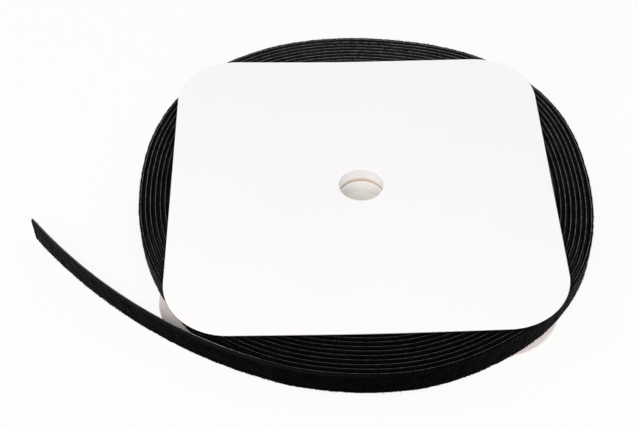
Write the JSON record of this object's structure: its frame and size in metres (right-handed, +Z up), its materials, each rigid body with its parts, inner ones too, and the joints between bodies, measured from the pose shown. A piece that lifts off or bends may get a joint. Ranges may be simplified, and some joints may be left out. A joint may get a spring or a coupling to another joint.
{
  "type": "hook and loop tape roll",
  "caption": "Black hook and loop tape wound flat on a reel with two square white plastic flanges, a round bore and a loose free end.",
  "frame": {"origin": "on the reel's axis, on the surface that the roll lies on", "axes": "+Z up along the bore, +Y to the back, +X to the right; the free end lies towards -X"},
  "size_m": [0.3281, 0.2773, 0.0188],
  "materials": {
    "white_plastic": "satin moulded white polystyrene",
    "kraft_board": "uncoated spiral-wound kraft board",
    "wound_tape": "black woven tape, packed turns",
    "loop_pile": "black napped loop pile on woven ground",
    "hook_weave": "black monofilament hooks on woven ground"
  },
  "bodies": {
    "reel": {"top_flange": "white_plastic", "bottom_flange": "white_plastic", "core_tube": "kraft_board", "inner_turns": "wound_tape", "loop_web": "loop_pile", "hook_web": "hook_weave"},
    "free_end": {"loop_tail": "loop_pile", "hook_tail": "hook_weave"}
  },
  "joints": [
    {"name": "tail_peel", "type": "hinge", "parent": "reel", "child": "free_end", "pos_m": [-0.05252, -0.12959, 0.0094], "axis": [0, 0, 1], "range_deg": [0, 60], "stiffness_Nm_per_rad": 0.002}
  ]
}
